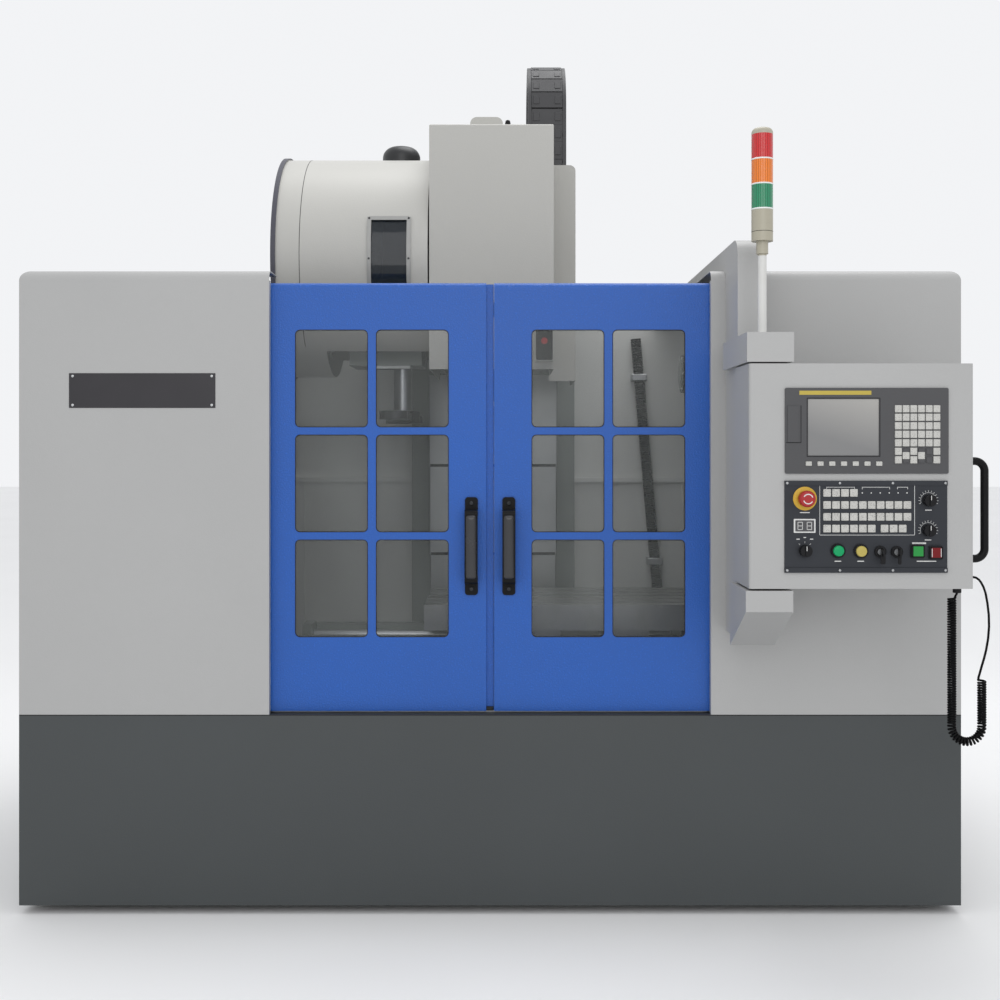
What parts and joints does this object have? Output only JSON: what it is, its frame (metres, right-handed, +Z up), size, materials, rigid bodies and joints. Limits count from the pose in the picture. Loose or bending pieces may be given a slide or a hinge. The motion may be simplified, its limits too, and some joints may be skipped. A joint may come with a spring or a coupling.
{
  "type": "cnc milling machine",
  "caption": "Vertical machining centre with guarded chamber, sliding windowed doors, tool changer drum, swivelling operator pendant and signal tower.",
  "frame": {"origin": "centre of the footprint on the floor", "axes": "+X to the operator's right, +Y to the back of the machine, +Z up"},
  "size_m": [2.6, 2.634, 2.6799],
  "materials": {
    "panel_grey": "satin powder coat",
    "door_blue": "orange peel powder coat",
    "skirt_grey": "satin powder coat",
    "casting": "painted casting",
    "table_iron": "ground",
    "steel": "ground",
    "cover_cream": "satin",
    "black_motor": "satin",
    "black_plastic": "moulded",
    "chain_plastic": "moulded",
    "dark_unit": "moulded",
    "plate": "film covered plate",
    "glass": "tinted",
    "green": "moulded",
    "amber": "moulded",
    "red": "moulded",
    "tower_beige": "moulded"
  },
  "bodies": {
    "frame": {"machine_bed": "casting", "levelling_feet": "steel", "base_skirt": "skirt_grey", "column": "casting", "left_wing": "panel_grey", "right_wing": "panel_grey", "rear_splash_panels": "panel_grey", "door_rails": "steel", "pendant_pillar": "panel_grey", "signal_tower": "tower_beige", "green_lens": "green", "amber_lens": "amber", "red_lens": "red", "magazine_cover": "cover_cream", "magazine_window": "glass", "changer_gearbox": "casting", "changer_motor": "black_motor", "work_lamp": "black_motor", "wall_conduit": "black_plastic", "electrical_cabinet": "panel_grey", "axis_motors": "black_motor", "y_way_cover": "steel", "z_way_cover": "steel"},
    "left_door": {"left_door": "door_blue", "left_door_glass": "glass", "left_door_handle": "black_plastic"},
    "right_door": {"right_door": "door_blue", "right_door_glass": "glass", "right_door_handle": "black_plastic"},
    "saddle": {"saddle": "casting", "x_motor": "black_motor"},
    "table": {"table": "table_iron"},
    "head": {"head_casting": "casting", "head_cover": "panel_grey", "spindle_motor": "black_motor"},
    "tool_release": {"tool_release_button": "red"},
    "spindle": {"spindle_shaft": "steel"},
    "carousel": {"tool_carousel": "steel"},
    "changer_shaft": {"changer_shaft": "steel"},
    "changer_arm": {"changer_arm": "steel"},
    "cable_chain": {"cable_chain": "chain_plastic"},
    "x_screw": {"x_screw": "steel"},
    "y_screw": {"y_screw": "steel"},
    "z_screw": {"z_screw": "steel"},
    "pendant": {"pendant_box": "panel_grey", "pendant_handle": "black_plastic", "display_unit": "dark_unit", "operator_plate": "plate", "handwheel_cord": "black_plastic"},
    "estop": {"estop_button": "red"},
    "start": {"start_button": "green"},
    "hold": {"hold_button": "amber"},
    "power_on": {"power_on_button": "green"},
    "power_off": {"power_off_button": "red"},
    "mode_dial": {"mode_dial": "black_plastic"},
    "feed_dial": {"feed_dial": "black_plastic"},
    "spindle_dial": {"spindle_dial": "black_plastic"},
    "left_key": {"left_key_switch": "steel"},
    "right_key": {"right_key_switch": "steel"},
    "cabinet_door": {"cabinet_door": "panel_grey"}
  },
  "joints": [
    {"name": "left_door_slide", "type": "slide", "parent": "frame", "child": "left_door", "axis": [-1, 0, 0], "range_m": [0, 0.53]},
    {"name": "right_door_slide", "type": "slide", "parent": "frame", "child": "right_door", "axis": [1, 0, 0], "range_m": [0, 0.53]},
    {"name": "y_axis", "type": "slide", "parent": "frame", "child": "saddle", "axis": [0, 1, 0], "range_m": [-0.25, 0.25], "deforming": ["y_way_cover"]},
    {"name": "x_axis", "type": "slide", "parent": "saddle", "child": "table", "axis": [1, 0, 0], "range_m": [-0.69, 0.11]},
    {"name": "z_axis", "type": "slide", "parent": "frame", "child": "head", "axis": [0, 0, 1], "range_m": [-0.5, 0], "deforming": ["z_way_cover"]},
    {"name": "spindle_spin", "type": "hinge", "parent": "head", "child": "spindle", "pos_m": [0, -0.18, 1.44], "axis": [0, 0, 1], "continuous": true},
    {"name": "tool_release_press", "type": "slide", "parent": "head", "child": "tool_release", "axis": [0, 1, 0], "range_m": [0, 0.004], "stiffness_N_per_m": 400},
    {"name": "magazine_spin", "type": "hinge", "parent": "frame", "child": "carousel", "pos_m": [-0.58, -0.051, 1.895], "axis": [1, 0, 0], "continuous": true},
    {"name": "changer_drop", "type": "slide", "parent": "frame", "child": "changer_shaft", "axis": [0, 0, 1], "range_m": [-0.115, 0]},
    {"name": "changer_turn", "type": "hinge", "parent": "changer_shaft", "child": "changer_arm", "pos_m": [-0.3, -0.116, 1.4], "axis": [0, 0, 1], "range_deg": [0, 180]},
    {"name": "chain_slide", "type": "slide", "parent": "frame", "child": "cable_chain", "axis": [0, 0, 1], "range_m": [-0.25, 0]},
    {"name": "x_screw_turn", "type": "hinge", "parent": "saddle", "child": "x_screw", "pos_m": [0, -0.18, 0.672], "axis": [1, 0, 0], "continuous": true},
    {"name": "y_screw_turn", "type": "hinge", "parent": "frame", "child": "y_screw", "pos_m": [0, -0.18, 0.47], "axis": [0, 1, 0], "continuous": true},
    {"name": "z_screw_turn", "type": "hinge", "parent": "frame", "child": "z_screw", "pos_m": [0, 0.363, 1.5], "axis": [0, 0, 1], "continuous": true},
    {"name": "pendant_swivel", "type": "hinge", "parent": "frame", "child": "pendant", "pos_m": [0.692, -1.17, 1.2], "axis": [0, 0, 1], "range_deg": [-90, 10]},
    {"name": "estop_press", "type": "slide", "parent": "pendant", "child": "estop", "axis": [0, 1, 0], "range_m": [0, 0.005]},
    {"name": "start_press", "type": "slide", "parent": "pendant", "child": "start", "axis": [0, 1, 0], "range_m": [0, 0.003], "stiffness_N_per_m": 400},
    {"name": "hold_press", "type": "slide", "parent": "pendant", "child": "hold", "axis": [0, 1, 0], "range_m": [0, 0.003], "stiffness_N_per_m": 400},
    {"name": "power_on_press", "type": "slide", "parent": "pendant", "child": "power_on", "axis": [0, 1, 0], "range_m": [0, 0.003], "stiffness_N_per_m": 400},
    {"name": "power_off_press", "type": "slide", "parent": "pendant", "child": "power_off", "axis": [0, 1, 0], "range_m": [0, 0.003], "stiffness_N_per_m": 400},
    {"name": "mode_turn", "type": "hinge", "parent": "pendant", "child": "mode_dial", "pos_m": [0.7735, -1.28, 1.0357], "axis": [0, 1, 0], "range_deg": [-90, 90]},
    {"name": "feed_turn", "type": "hinge", "parent": "pendant", "child": "feed_dial", "pos_m": [1.0758, -1.28, 1.1589], "axis": [0, 1, 0], "range_deg": [-150, 150]},
    {"name": "spindle_rate_turn", "type": "hinge", "parent": "pendant", "child": "spindle_dial", "pos_m": [1.0748, -1.28, 1.0857], "axis": [0, 1, 0], "range_deg": [-150, 150]},
    {"name": "left_key_turn", "type": "hinge", "parent": "pendant", "child": "left_key", "pos_m": [0.9576, -1.28, 1.0335], "axis": [0, 1, 0], "range_deg": [0, 90]},
    {"name": "right_key_turn", "type": "hinge", "parent": "pendant", "child": "right_key", "pos_m": [0.9982, -1.28, 1.0328], "axis": [0, 1, 0], "range_deg": [0, 90]},
    {"name": "cabinet_door_swing", "type": "hinge", "parent": "frame", "child": "cabinet_door", "pos_m": [-0.55, 1.292, 1.2], "axis": [0, 0, 1], "range_deg": [0, 110]}
  ],
  "couplings": [
    {"joint": "chain_slide", "follows": "z_axis", "ratio": 0.5},
    {"joint": "x_screw_turn", "follows": "x_axis", "rad_per_m": 628.32},
    {"joint": "y_screw_turn", "follows": "y_axis", "rad_per_m": 628.32},
    {"joint": "z_screw_turn", "follows": "z_axis", "rad_per_m": 628.32}
  ]
}
